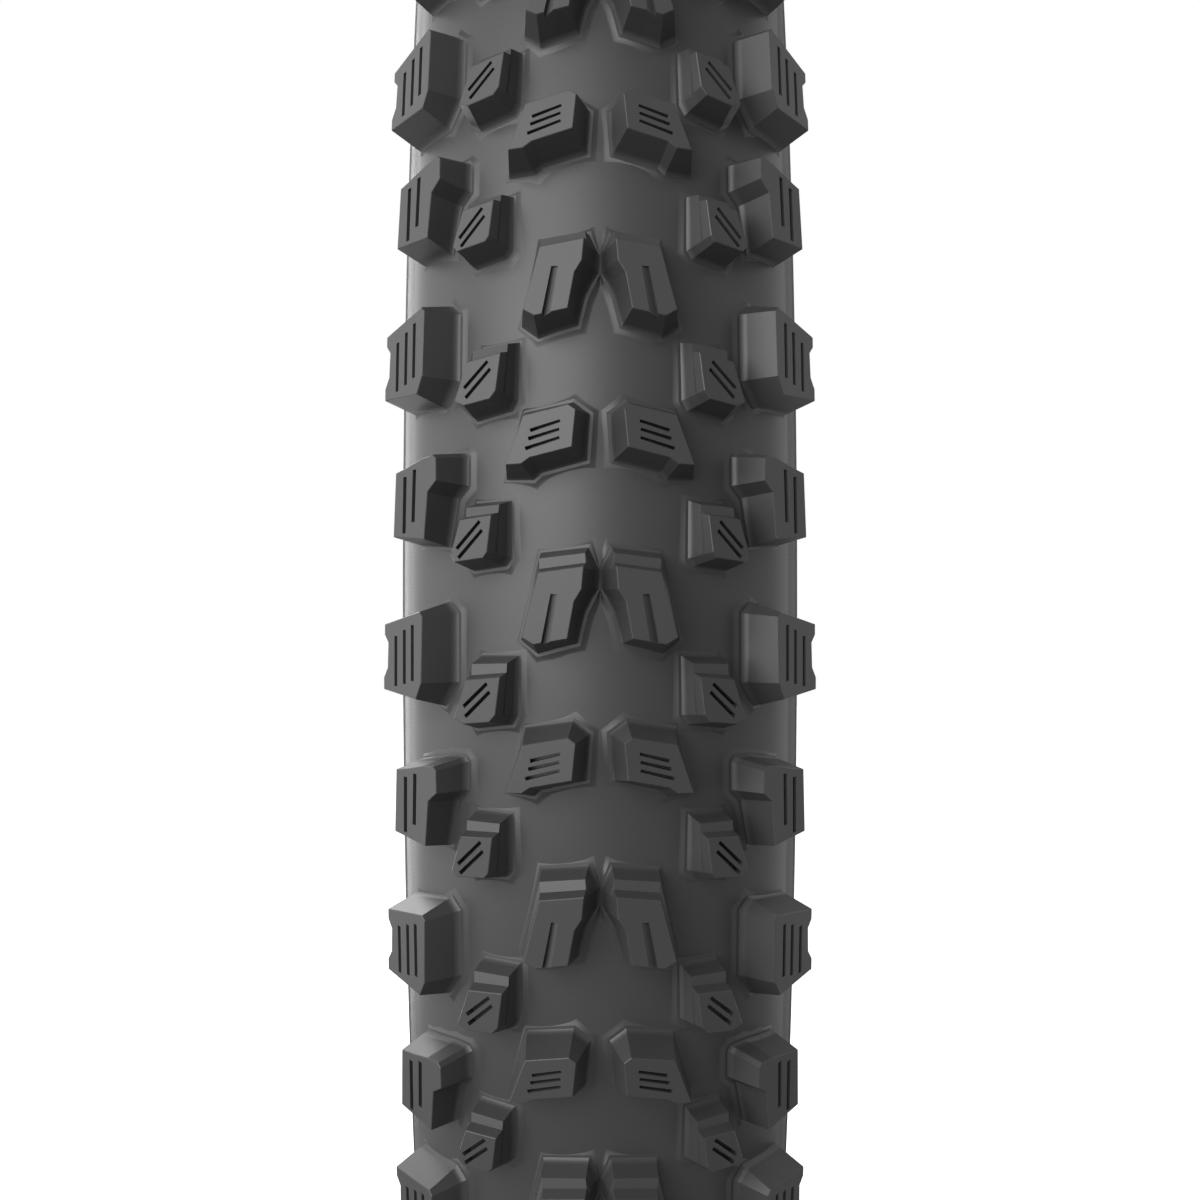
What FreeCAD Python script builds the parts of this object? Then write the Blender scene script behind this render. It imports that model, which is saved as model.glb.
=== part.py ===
import FreeCAD, Part
import math
import os

import Sketcher

# A knobbly mountain-bike tyre for a 622 mm bead seat, standing upright as on the
# bike: the wheel's axle is the Y axis, +Z is up and the origin is the wheel's centre.
#
# Seen in section, the outer skin is a chain that both sides share: the tube arc, a
# tighter turn-in arc, a straight, a hollow arc that clears the rim's edge, and the
# flat bead flank. Each layer is that chain at its own depth. The bead sits at its
# seat's radius, and the crown's radius follows from the chain.
# A point on the tread is given by its tube angle, 0 at the crown, and by its place
# round the wheel.

SIZES = [
    ("bead_seat_radius", 311.0, "radius of the rim's bead seat"),
    ("bead_half_width", 15.0, "half of the rim's inner width"),
    ("bead_flank_height", 5.3, "flat side of the bead, against the rim's upright edge"),
    ("tube_radius", 30.5, "outer radius of the inflated tube, without knobs"),
    ("turn_in_angle", 110.0, "tube angle where the sidewall starts to turn in"),
    ("turn_in_radius", 12.0, "radius of the skin where it turns in"),
    ("straight_length", 4.0, "straight of the sidewall between its turn and the rim's edge"),
    ("rim_clearance_radius", 3.0, "hollow radius that clears the rim's edge"),
    ("rubber_thickness", 1.2, "sidewall, chafer, and tread with its breaker"),
    ("breaker_thickness", 0.6, "woven puncture belt under the tread"),
    ("ply_thickness", 0.6, "one rubbered casing ply"),
    ("liner_thickness", 0.4, "airtight inner liner"),
    ("tread_edge_angle", 66.0, "tube angle where tread meets sidewall"),
    ("breaker_edge_angle", 50.0, "tube angle of the breaker's edge"),
    ("core_radius", 1.35, "radius of the bead core"),
    ("core_cover", 0.15, "rubber between the bead core and what is around it"),
    ("bead_base_thickness", 1.0, "chafer under the bead"),
    ("toe_thickness", 0.6, "chafer's lip on the air side"),
    ("toe_rise", 4.0, "height of that lip above the bead seat"),
    ("filler_rise", 4.8, "height of the filler's inner corner above the bead flank"),
    ("knob_pitch", 43.5, "wanted length of one repeat of the pattern, at the knob tops"),
    ("crown_knob_height", 5.4, "centre bars and centre wedges"),
    ("transition_knob_height", 4.9, "knobs between the centre and the shoulder"),
    ("shoulder_knob_height", 5.2, "outermost knobs"),
    ("crown_draft", 1.3, "spread of a centre knob's walls from its top to its foot"),
    ("transition_draft", 0.9, "the same, transition knobs"),
    ("shoulder_draft", 0.9, "the same, shoulder knobs"),
    ("sipe_width", 0.6, "thin cuts across the centre bars and transition knobs"),
    ("sipe_depth", 1.6, "depth of those cuts"),
    ("slot_width", 1.1, "open slot in a centre wedge"),
    ("slot_depth", 1.5, "depth of that slot"),
    ("groove_width", 0.8, "lengthwise grooves in the shoulder knobs"),
    ("groove_depth", 2.2, "depth of those grooves"),
]

doc = FreeCAD.newDocument("tyre")
sheet = doc.addObject("Spreadsheet::Sheet", "Sizes")
for row, (alias, number, note) in enumerate(SIZES, start=1):
    sheet.set("A%d" % row, alias)
    sheet.set("B%d" % row, repr(number))
    sheet.set("C%d" % row, note)
    sheet.setAlias("B%d" % row, alias)
doc.recompute()


# ---------------------------------------------------------------- bound sizes

class Bound:
    """A number together with the spreadsheet expression that gives it."""

    def __init__(self, number, text):
        self.number = number
        self.text = text

    def __add__(self, other):
        other = bound(other)
        return Bound(self.number + other.number, "(%s + %s)" % (self.text, other.text))

    def __sub__(self, other):
        other = bound(other)
        return Bound(self.number - other.number, "(%s - %s)" % (self.text, other.text))

    def __mul__(self, other):
        other = bound(other)
        return Bound(self.number * other.number, "(%s * %s)" % (self.text, other.text))

    def __truediv__(self, other):
        other = bound(other)
        return Bound(self.number / other.number, "(%s / %s)" % (self.text, other.text))

    def __neg__(self):
        return Bound(-self.number, "(0 - %s)" % self.text)


def bound(value):
    if isinstance(value, Bound):
        return value
    return Bound(float(value), repr(float(value)))


def size(alias):
    return Bound(float(sheet.get(alias)), "Sizes." + alias)


def cosine(angle):
    return Bound(math.cos(math.radians(angle.number)), "cos(%s)" % angle.text)


def sine(angle):
    return Bound(math.sin(math.radians(angle.number)), "sin(%s)" % angle.text)


def arc_sine(ratio):
    return Bound(math.degrees(math.asin(ratio.number)), "asin(%s) / 1 deg" % ratio.text)


def arc_tangent(ratio):
    return Bound(math.degrees(math.atan(ratio.number)), "atan(%s) / 1 deg" % ratio.text)


def root(value):
    return Bound(math.sqrt(value.number), "sqrt(%s)" % value.text)


# ------------------------------------------------------- the skin's own chain
# Every point is (distance from the axle, distance to the side).

NO_DEPTH = bound(0)
turn_in = size("turn_in_angle")
flank = size("bead_half_width")
centre_reach = size("tube_radius") - size("turn_in_radius")


def find_turn_in_end():
    """Angle of the skin's normal after the turn, which makes the chain meet the flank.

    Sideways, the turn's centre, both arcs and the straight have to add up to the
    flank: arcs * sin(angle) + straight * cos(angle) = what is left to cover.
    """
    arcs = size("turn_in_radius") + size("rim_clearance_radius")
    straight = size("straight_length")
    left_over = flank + size("rim_clearance_radius") - centre_reach * sine(turn_in)
    whole = root(arcs * arcs + straight * straight)
    return bound(180) - arc_sine(left_over / whole) - arc_tangent(straight / arcs)


turn_in_end = find_turn_in_end()
hollow_centre = (
    size("bead_seat_radius") + size("bead_flank_height"),
    flank + size("rim_clearance_radius"),
)
tube_ring_radius = (
    hollow_centre[0] - centre_reach * cosine(turn_in)
    - (size("turn_in_radius") + size("rim_clearance_radius")) * cosine(turn_in_end)
    + size("straight_length") * sine(turn_in_end)
)
crown_radius = tube_ring_radius + size("tube_radius")
turn_in_centre = (
    tube_ring_radius + centre_reach * cosine(turn_in),
    centre_reach * sine(turn_in),
)


def on_tube(depth, angle):
    reach = size("tube_radius") - depth
    return (tube_ring_radius + reach * cosine(angle), reach * sine(angle))


def turn_in_finish(depth):
    reach = size("turn_in_radius") - depth
    return (turn_in_centre[0] + reach * cosine(turn_in_end),
            turn_in_centre[1] + reach * sine(turn_in_end))


def straight_finish(depth):
    reach = size("rim_clearance_radius") + depth
    return (hollow_centre[0] - reach * cosine(turn_in_end),
            hollow_centre[1] - reach * sine(turn_in_end))


def hollow_middle(depth):
    """Halfway along the hollow round the rim's edge, between the straight and the flank."""
    reach = size("rim_clearance_radius") + depth
    halfway = (turn_in_end - bound(270)) * 0.5
    return (hollow_centre[0] + reach * cosine(halfway),
            hollow_centre[1] + reach * sine(halfway))


def flank_top(depth):
    return (hollow_centre[0], flank - depth)


def bead_base(depth):
    return (size("bead_seat_radius") + size("bead_base_thickness"), flank - depth)


def bead_inner_corner(depth_in_bead):
    """Corner of a layer on the air side of the filler, and the foot below it."""
    side = inner_face - depth_in_bead
    corner = (hollow_centre[0] + size("filler_rise") + depth_in_bead, side)
    foot = (size("bead_seat_radius") + size("bead_base_thickness"), side)
    return corner, foot


breaker_top = size("rubber_thickness") - size("breaker_thickness")
outer_ply_top = size("rubber_thickness")
inner_ply_top = outer_ply_top + size("ply_thickness")
liner_top = inner_ply_top + size("ply_thickness")
air_side = liner_top + size("liner_thickness")
core_space = (size("core_radius") + size("core_cover")) * 2
inner_face = flank - inner_ply_top - core_space


def mirrored(point):
    return (point[0], -point[1])


# A step of an outline is (end point, arc radius or None, arc centre or None).

def skin_steps(depth, from_angle):
    """The skin from a tube angle down to the foot of the bead flank."""
    return [
        (on_tube(depth, from_angle), None, None),
        (on_tube(depth, turn_in), size("tube_radius") - depth, (tube_ring_radius, NO_DEPTH)),
        (turn_in_finish(depth), size("turn_in_radius") - depth, turn_in_centre),
        (straight_finish(depth), None, None),
        (hollow_middle(depth), size("rim_clearance_radius") + depth, hollow_centre),
        (flank_top(depth), size("rim_clearance_radius") + depth, hollow_centre),
        (bead_base(depth), None, None),
    ]


def inner_steps(depth, from_angle):
    """The same for a layer that passes on the air side of the filler."""
    corner, foot = bead_inner_corner(depth - inner_ply_top)
    return [
        (on_tube(depth, from_angle), None, None),
        (on_tube(depth, turn_in), size("tube_radius") - depth, (tube_ring_radius, NO_DEPTH)),
        (turn_in_finish(depth), size("turn_in_radius") - depth, turn_in_centre),
        (corner, None, None),
        (foot, None, None),
    ]


def reversed_steps(steps):
    """The same run of an outline walked the other way."""
    points = [step[0] for step in steps]
    spans = [(step[1], step[2]) for step in steps[1:]]
    turned = [(points[-1], None, None)]
    for point, (radius, centre) in zip(reversed(points[:-1]), reversed(spans)):
        turned.append((point, radius, centre))
    return turned


def mirrored_steps(steps):
    return [(mirrored(point), radius, mirrored(centre) if centre else None)
            for point, radius, centre in steps]


def bead_to_bead(steps):
    """From the left foot over the crown to the right foot."""
    return reversed_steps(mirrored_steps(steps)) + steps[1:]


# --------------------------------------------------------------- ring builder
# A ring is turned as one sector and patterned round the axle, so that every face of
# it spans only a part of the wheel.

SECTORS = 12


def origin_feature(body, role):
    return [item for item in body.Origin.OriginFeatures if item.Role == role][0]


def add_span(sketch, start, end, radius, centre):
    """Add one line or arc of an outline and return its index and its end indices."""
    first = FreeCAD.Vector(start[0].number, start[1].number, 0)
    last = FreeCAD.Vector(end[0].number, end[1].number, 0)
    if radius is None:
        return sketch.addGeometry(Part.LineSegment(first, last), False), 1, 2
    middle = FreeCAD.Vector(centre[0].number, centre[1].number, 0)
    start_angle = math.atan2(first.y - middle.y, first.x - middle.x)
    end_angle = math.atan2(last.y - middle.y, last.x - middle.x)
    forwards = math.sin(end_angle - start_angle) > 0
    circle = Part.Circle(middle, FreeCAD.Vector(0, 0, 1), radius.number)
    if forwards:
        arc = Part.ArcOfCircle(circle, start_angle, end_angle)
        return sketch.addGeometry(arc, False), 1, 2
    arc = Part.ArcOfCircle(circle, end_angle, start_angle)
    return sketch.addGeometry(arc, False), 2, 1


def bind(sketch, constraint, value):
    index = sketch.addConstraint(constraint)
    sketch.setExpression("Constraints[%d]" % index, value.text)


def draw_outline(sketch, steps):
    """Draw a closed outline whose corners and radii are all bound to the sheet."""
    spans = []
    for number, (point, radius, centre) in enumerate(steps):
        start = steps[number - 1][0]
        spans.append(add_span(sketch, start, point, radius, centre))
    for number, (index, first, last) in enumerate(spans):
        following, next_first, next_last = spans[(number + 1) % len(spans)]
        sketch.addConstraint(Sketcher.Constraint("Coincident", index, last, following, next_first))
        point, radius, centre = steps[number]
        for kind, place in (("DistanceX", point[0]), ("DistanceY", point[1])):
            bind(sketch, Sketcher.Constraint(kind, -1, 1, index, last, place.number), place)
        if radius is not None:
            bind(sketch, Sketcher.Constraint("Radius", index, radius.number), radius)


def ring(label, steps, hole=None):
    """Turn an outline, and a round hole in it, once round the axle."""
    body = doc.addObject("PartDesign::Body", label)
    body.Label = label
    sketch = body.newObject("Sketcher::SketchObject", label + "_section")
    sketch.AttachmentSupport = [(origin_feature(body, "XY_Plane"), "")]
    sketch.MapMode = "FlatFace"
    draw_outline(sketch, steps)
    if hole is not None:
        (across, side), radius = hole
        middle = FreeCAD.Vector(across.number, side.number, 0)
        circle = Part.Circle(middle, FreeCAD.Vector(0, 0, 1), radius.number)
        index = sketch.addGeometry(circle, False)
        for kind, place in (("DistanceX", across), ("DistanceY", side)):
            bind(sketch, Sketcher.Constraint(kind, -1, 1, index, 3, place.number), place)
        bind(sketch, Sketcher.Constraint("Radius", index, radius.number), radius)
    turned = body.newObject("PartDesign::Revolution", label + "_turned")
    turned.Profile = sketch
    turned.ReferenceAxis = (sketch, ["V_Axis"])
    turned.Angle = 360 / SECTORS
    turned.Refine = False
    pattern = body.newObject("PartDesign::PolarPattern", label + "_ring")
    pattern.Originals = [turned]
    pattern.Axis = (sketch, ["V_Axis"])
    pattern.Angle = 360
    pattern.Occurrences = SECTORS
    pattern.Refine = False
    body.Tip = pattern
    return body


def left_of(label, source):
    """The same piece on the left-hand side, mirrored in the wheel's middle plane."""
    twin = doc.addObject("Part::Mirroring", label)
    twin.Label = label
    twin.Source = source
    twin.Base = (0, 0, 0)
    twin.Normal = (0, 1, 0)
    return twin


def closed_band(outer, inner):
    return outer + [(inner[-1][0], None, None)] + reversed_steps(inner)[1:]


# ------------------------------------------------------------------ the rings

def make_tread_base():
    """Rubber tread strip, rebated on its inside for the breaker."""
    edge = size("tread_edge_angle")
    rebate = size("breaker_edge_angle")
    wheel_middle = (tube_ring_radius, NO_DEPTH)
    half = [
        (on_tube(NO_DEPTH, edge), size("tube_radius"), wheel_middle),
        (on_tube(outer_ply_top, edge), None, None),
        (on_tube(outer_ply_top, rebate), size("tube_radius") - outer_ply_top, wheel_middle),
        (on_tube(breaker_top, rebate), None, None),
    ]
    crown_top = (on_tube(NO_DEPTH, bound(0)), None, None)
    crown_foot = (on_tube(breaker_top, bound(0)), size("tube_radius") - breaker_top, wheel_middle)
    right = [crown_top] + half + [crown_foot]
    left = reversed_steps(mirrored_steps(right))
    return ring("tread_base", right[1:] + left[1:])


def make_breaker():
    edge = size("breaker_edge_angle")
    wheel_middle = (tube_ring_radius, NO_DEPTH)
    right = [
        (on_tube(breaker_top, bound(0)), None, None),
        (on_tube(breaker_top, edge), size("tube_radius") - breaker_top, wheel_middle),
        (on_tube(outer_ply_top, edge), None, None),
        (on_tube(outer_ply_top, bound(0)), size("tube_radius") - outer_ply_top, wheel_middle),
    ]
    left = reversed_steps(mirrored_steps(right))
    return ring("breaker_belt", right[1:] + left[1:])


def make_sidewall():
    edge = size("tread_edge_angle")
    outer = skin_steps(NO_DEPTH, edge)[:4]
    inner = skin_steps(outer_ply_top, edge)[:4]
    return ring("right_sidewall", closed_band(outer, inner))


def make_chafer():
    """Strip that wraps the bead from the rim's edge, under it, to the air side."""
    outer = skin_steps(NO_DEPTH, turn_in)[3:6]
    inner = skin_steps(outer_ply_top, turn_in)[3:]
    seat = size("bead_seat_radius")
    lip_outside = inner_face - (air_side - inner_ply_top)
    toe = lip_outside - size("toe_thickness")
    lip_top = seat + size("toe_rise")
    outline = outer + [
        ((seat, flank), None, None),
        ((seat, toe), None, None),
        ((lip_top, toe), None, None),
        ((lip_top, lip_outside), None, None),
        ((seat + size("bead_base_thickness"), lip_outside), None, None),
        (inner[-1][0], None, None),
    ] + reversed_steps(inner)[1:]
    return ring("right_chafer", outline)


def make_outer_ply():
    outer = bead_to_bead(skin_steps(outer_ply_top, bound(0)))
    inner = bead_to_bead(skin_steps(inner_ply_top, bound(0)))
    return ring("casing_ply_outer", closed_band(outer, inner))


def make_inner_layer(label, top, foot):
    outer = bead_to_bead(inner_steps(top, bound(0)))
    inner = bead_to_bead(inner_steps(foot, bound(0)))
    return ring(label, closed_band(outer, inner))


core_place = (
    size("bead_seat_radius") + size("bead_base_thickness") + size("core_cover") + size("core_radius"),
    flank - inner_ply_top - size("core_cover") - size("core_radius"),
)


def make_filler():
    """Rubber round the bead core, tapering up between the two plies."""
    outer = skin_steps(inner_ply_top, turn_in)[2:]
    corner, foot = bead_inner_corner(bound(0))
    outline = outer + [(foot, None, None), (corner, None, None), (outer[0][0], None, None)]
    return ring("right_bead_filler", outline[1:], (core_place, size("core_radius")))


def make_core(label, side):
    """Aramid hoop that holds the tyre on the rim."""
    core = doc.addObject("Part::Torus", label)
    core.Label = label
    core.setExpression("Radius1", core_place[0].text)
    core.setExpression("Radius2", size("core_radius").text)
    upright = FreeCAD.Rotation(FreeCAD.Vector(1, 0, 0), 90)
    core.Placement = FreeCAD.Placement(FreeCAD.Vector(0, 0, 0), upright)
    core.setExpression("Placement.Base.y", (core_place[1] * side).text)
    return core


# ------------------------------------------------------------------ the knobs
# A knob is drawn flat, on a plane that touches its own height above the tube: x is
# across the tread, away from the crown, and y is along the tread, forwards. Its top is
# flat, its walls spread towards the foot and its foot follows the tread it sits on.

tube_ring = tube_ring_radius.number
tube = size("tube_radius").number
knob_circle = 2 * math.pi * (crown_radius + size("crown_knob_height")).number
repeats = round(knob_circle / size("knob_pitch").number)
repeat_angle = 360.0 / repeats
FOOT_SINK = 3.0      # how far the drawn walls run below the tread before they are cut
CUT_SPARE = 3.0      # how far a cut's walls run above the knob's top

# Steps of the leading edge, as (distance forwards of the top face, share of the height).
LEADING_STEPS = [(0.0, 1.0), (0.5, 0.67), (1.8, 0.60), (2.7, 0.0)]

# Each knob: the row's middle across the tread (mm of arc from the crown) and along it
# (share of a repeat), the outline of its top, and its cuts from end to end. A stepped
# knob's outline runs on under its steps, which start at the distance given.
KNOBS = {
    "centre_wedges": {
        "height": "crown_knob_height", "draft": "crown_draft", "across": 5.0, "along": 0.0,
        "top": [(2.2, 4.0), (2.0, 6.3), (-2.4, 6.6), (-3.5, 4.4), (-3.5, 1.4), (-2.5, -0.2),
                (-1.6, -5.0), (2.9, -5.8), (4.4, -4.9)],
        "stepped_from": 4.0,
        "cuts": [("slot", (0.1, 0.8), (1.5, -9.0))],
    },
    "centre_bars": {
        "height": "crown_knob_height", "draft": "crown_draft", "across": 7.0, "along": 0.5,
        "top": [(2.0, 2.6), (-4.1, 3.8), (-5.0, 3.1), (-4.6, -1.8), (1.1, -3.0),
                (2.3, -3.8), (4.3, -3.8)],
        "stepped_from": None,
        "cuts": [("sipe", (1.0, 0.6), (-3.1, 1.7)), ("sipe", (1.3, -0.5), (-2.9, 0.6)),
                 ("sipe", (1.7, -1.8), (-2.9, -0.5))],
    },
    "inner_transition_knobs": {
        "height": "transition_knob_height", "draft": "transition_draft",
        "across": 14.5, "along": -0.3,
        "top": [(2.1, 2.4), (1.7, 5.1), (-2.8, 5.2), (-3.3, 2.4), (-2.5, -2.3), (-1.6, -3.3),
                (2.5, -3.8), (3.9, -3.1)],
        "stepped_from": 2.4,
        "cuts": [("sipe", (-1.3, 1.8), (2.4, -1.5)), ("sipe", (-1.7, 0.7), (2.2, -2.8))],
    },
    "outer_transition_knobs": {
        "height": "transition_knob_height", "draft": "transition_draft",
        "across": 15.5, "along": 0.2,
        "top": [(1.9, 2.4), (1.5, 4.9), (-2.7, 4.9), (-3.2, 2.4), (-2.5, -2.3), (-1.8, -3.0),
                (2.7, -3.4), (3.4, -2.5)],
        "stepped_from": 2.4,
        "cuts": [("sipe", (-1.3, 1.9), (2.4, -1.7)), ("sipe", (-1.7, 0.7), (2.1, -2.9))],
    },
    "shoulder_three_groove_knobs": {
        "height": "shoulder_knob_height", "draft": "shoulder_draft",
        "across": 27.5, "along": -0.18,
        "top": [(4.5, 4.0), (-0.9, 5.1), (-5.2, 6.0), (-5.8, 5.3), (-5.5, -3.8), (-4.1, -6.1),
                (4.8, -5.3), (4.8, -3.6), (3.7, -2.1), (3.5, 1.4), (4.5, 2.5)],
        "stepped_from": None,
        "cuts": [("groove", (1.3, 2.4), (1.3, -4.6)), ("groove", (-1.1, 3.4), (-1.1, -4.2)),
                 ("groove", (-3.3, 4.1), (-3.3, -3.6))],
    },
    "shoulder_two_groove_knobs": {
        "height": "shoulder_knob_height", "draft": "shoulder_draft",
        "across": 25.0, "along": 0.32,
        "top": [(4.0, 4.5), (1.4, 5.0), (-2.3, 5.9), (-4.8, 6.2), (-5.5, 5.7), (-5.5, 2.6),
                (-3.6, 1.2), (-2.9, -5.2), (4.5, -4.5)],
        "stepped_from": None,
        "cuts": [("groove", (1.7, 3.7), (1.9, -4.1)), ("groove", (-0.5, 4.5), (-0.3, -2.7))],
    },
}


def crossing(first, second):
    """Where two lines, each (point, direction), meet."""
    (px, py), (dx, dy) = first
    (qx, qy), (ex, ey) = second
    turn = dx * ey - dy * ex
    along = ((qx - px) * ey - (qy - py) * ex) / turn
    return (px + along * dx, py + along * dy)


def spread_outline(outline, spread):
    """Move every edge of an anticlockwise outline out by the same distance."""
    edges = []
    for number, start in enumerate(outline):
        end = outline[(number + 1) % len(outline)]
        dx, dy = end[0] - start[0], end[1] - start[1]
        length = math.hypot(dx, dy)
        out = (start[0] + spread * dy / length, start[1] - spread * dx / length)
        edges.append((out, (dx, dy)))
    return [crossing(edges[number - 1], edges[number]) for number in range(len(edges))]


def tapered_block(outline, draft, height):
    """Flat-sided block whose outline is as given at the knob's height."""
    rings = []
    for level in (-FOOT_SINK, height):
        spread = draft * (height - level) / height
        rings.append([FreeCAD.Vector(x, y, level) for x, y in spread_outline(outline, spread)])
    floor, roof = rings
    faces = [Part.Face(Part.makePolygon(floor + floor[:1])),
             Part.Face(Part.makePolygon(roof + roof[:1]))]
    for number in range(len(outline)):
        corners = [floor[number - 1], floor[number], roof[number], roof[number - 1]]
        faces.append(Part.Face(Part.makePolygon(corners + corners[:1])))
    return Part.makeSolid(Part.makeShell(faces))


def leading_cut(start, height):
    """What the steps of the leading edge take away."""
    reach = 12.0
    points = [FreeCAD.Vector(-reach, start, height + CUT_SPARE)]
    points += [FreeCAD.Vector(-reach, start + along, share * height)
               for along, share in LEADING_STEPS]
    last, before = points[-1], points[-2]
    points.append(last + (last - before) * (FOOT_SINK / (before.z - last.z)) * 1.5)
    points.append(FreeCAD.Vector(-reach, points[-1].y, height + CUT_SPARE))
    face = Part.Face(Part.makePolygon(points + points[:1]))
    return face.extrude(FreeCAD.Vector(2 * reach, 0, 0))


def narrow_cut(start, end, width, depth, height):
    """A straight-sided cut from the knob's top, from one end to the other."""
    along = FreeCAD.Vector(end[0] - start[0], end[1] - start[1], 0)
    cut = Part.makeBox(along.Length, width, depth + CUT_SPARE,
                       FreeCAD.Vector(0, -width / 2, height - depth))
    turn = math.degrees(math.atan2(along.y, along.x))
    cut.Placement = FreeCAD.Placement(FreeCAD.Vector(start[0], start[1], 0),
                                      FreeCAD.Rotation(FreeCAD.Vector(0, 0, 1), turn))
    return cut


def make_tread_torus():
    torus = Part.makeTorus(tube_ring, tube)
    torus.rotate(FreeCAD.Vector(0, 0, 0), FreeCAD.Vector(1, 0, 0), 90)
    return torus


tread_torus = make_tread_torus()


def knob_solid(design):
    """One right-hand knob at the front of the wheel, on +X."""
    height = size(design["height"]).number
    block = tapered_block(anticlockwise(design["top"]), size(design["draft"]).number, height)
    if design["stepped_from"] is not None:
        block = block.cut(leading_cut(design["stepped_from"], height))
    for kind, start, end in design["cuts"]:
        width, depth = size(kind + "_width").number, size(kind + "_depth").number
        block = block.cut(narrow_cut(start, end, width, depth, height))
    tube_angle = math.degrees(design["across"] / tube)
    onto_wheel = FreeCAD.Matrix(0, 0, 1, tube,
                                1, 0, 0, 0,
                                0, 1, 0, 0,
                                0, 0, 0, 1)
    block = block.transformGeometry(onto_wheel)
    block.rotate(FreeCAD.Vector(0, 0, 0), FreeCAD.Vector(0, 0, 1), tube_angle)
    block.translate(FreeCAD.Vector(tube_ring, 0, 0))
    block = block.cut(tread_torus)
    block.rotate(FreeCAD.Vector(0, 0, 0), FreeCAD.Vector(0, 1, 0), -design["along"] * repeat_angle)
    return block.Solids[0]


def anticlockwise(outline):
    area = sum(outline[number - 1][0] * outline[number][1]
               - outline[number][0] * outline[number - 1][1] for number in range(len(outline)))
    return outline if area > 0 else outline[::-1]


def make_knobs(name, design):
    """All the knobs of one kind, on the right and mirrored on the left."""
    first = knob_solid(design)
    rights = []
    for number in range(repeats):
        copy = first.copy()
        copy.rotate(FreeCAD.Vector(0, 0, 0), FreeCAD.Vector(0, 1, 0), number * repeat_angle)
        rights.append(copy)
    right = doc.addObject("Part::Feature", "right_" + name)
    right.Label = "right_" + name
    right.Shape = Part.makeCompound(rights)
    left = doc.addObject("Part::Feature", "left_" + name)
    left.Label = "left_" + name
    left.Shape = right.Shape.mirror(FreeCAD.Vector(0, 0, 0), FreeCAD.Vector(0, 1, 0))
    return [right, left]


# ------------------------------------------------------------------- assembly

pieces = [make_tread_base(), make_breaker(), make_outer_ply(),
          make_inner_layer("casing_ply_inner", inner_ply_top, liner_top),
          make_inner_layer("inner_liner", liner_top, air_side)]
for right_piece in (make_sidewall(), make_chafer(), make_filler()):
    pieces.append(right_piece)
    pieces.append(left_of(right_piece.Label.replace("right_", "left_"), right_piece))
pieces.append(make_core("right_bead_core", 1))
pieces.append(make_core("left_bead_core", -1))
for knob_name, knob_design in KNOBS.items():
    pieces += make_knobs(knob_name, knob_design)

doc.recompute()
for item in doc.Objects:
    if "Invalid" in item.State or "Error" in item.State:
        raise RuntimeError("%s failed to build: %s" % (item.Label, item.State))
for piece in pieces:
    if piece.Shape.isNull() or not piece.Shape.isValid():
        raise RuntimeError("%s has no valid shape" % piece.Label)

os.makedirs("parts", exist_ok=True)
for piece in pieces:
    piece.Shape.exportStep(os.path.join("parts", piece.Label + ".step"))
    print("%-34s %4d solids %10.0f mm3" % (piece.Label, len(piece.Shape.Solids), piece.Shape.Volume))
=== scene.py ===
import math

import bmesh
import bpy
import numpy as np
from bpy.props import FloatProperty, FloatVectorProperty, IntProperty, PointerProperty
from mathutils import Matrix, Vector
from mathutils.geometry import tessellate_polygon


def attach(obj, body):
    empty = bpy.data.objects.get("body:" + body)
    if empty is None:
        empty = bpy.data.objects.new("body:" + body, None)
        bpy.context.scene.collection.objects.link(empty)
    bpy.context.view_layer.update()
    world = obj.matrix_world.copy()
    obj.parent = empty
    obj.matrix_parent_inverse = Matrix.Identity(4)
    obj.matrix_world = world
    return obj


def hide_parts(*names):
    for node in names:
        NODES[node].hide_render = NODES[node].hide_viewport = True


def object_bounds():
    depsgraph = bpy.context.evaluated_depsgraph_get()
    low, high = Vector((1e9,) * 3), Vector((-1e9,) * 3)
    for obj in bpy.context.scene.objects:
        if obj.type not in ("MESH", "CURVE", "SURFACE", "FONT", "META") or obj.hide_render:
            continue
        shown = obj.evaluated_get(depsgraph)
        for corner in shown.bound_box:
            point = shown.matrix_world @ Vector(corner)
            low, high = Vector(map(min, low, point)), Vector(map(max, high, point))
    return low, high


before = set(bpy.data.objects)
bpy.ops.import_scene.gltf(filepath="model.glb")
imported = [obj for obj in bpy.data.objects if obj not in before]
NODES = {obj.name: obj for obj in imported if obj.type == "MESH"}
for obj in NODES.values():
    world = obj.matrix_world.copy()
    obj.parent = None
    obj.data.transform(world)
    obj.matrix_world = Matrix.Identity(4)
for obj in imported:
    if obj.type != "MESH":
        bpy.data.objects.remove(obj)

bl_info = {
    "name": "Knobbly Bicycle Tyre",
    "version": (1, 0, 0),
    "blender": (4, 5, 0),
    "location": "3D Viewport > Sidebar > Tyre",
    "description": "Moulded rubber skin, knobs and a small studio for a knobbly bicycle tyre",
    "category": "Add Mesh",
}

CAD_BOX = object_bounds()
MM = 0.001


# ------------------------------------------------------------------ the frame's sizes

def node_points(node):
    """All the corners of a CAD node's mesh as one array."""
    mesh = NODES[node].data
    flat = np.zeros(len(mesh.vertices) * 3)
    mesh.vertices.foreach_get("co", flat)
    return flat.reshape(-1, 3)


def node_reach(node):
    """Least and greatest distance from the axle, and least and greatest side, of a node."""
    points = node_points(node)
    away = np.hypot(points[:, 0], points[:, 2])
    return away.min(), away.max(), points[:, 1].min(), points[:, 1].max()


TREAD_REACH = node_reach("tread_base")
WALL_REACH = node_reach("right_sidewall")
CHAFER_REACH = node_reach("right_chafer")


# ------------------------------------------------------------------- settings

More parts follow.
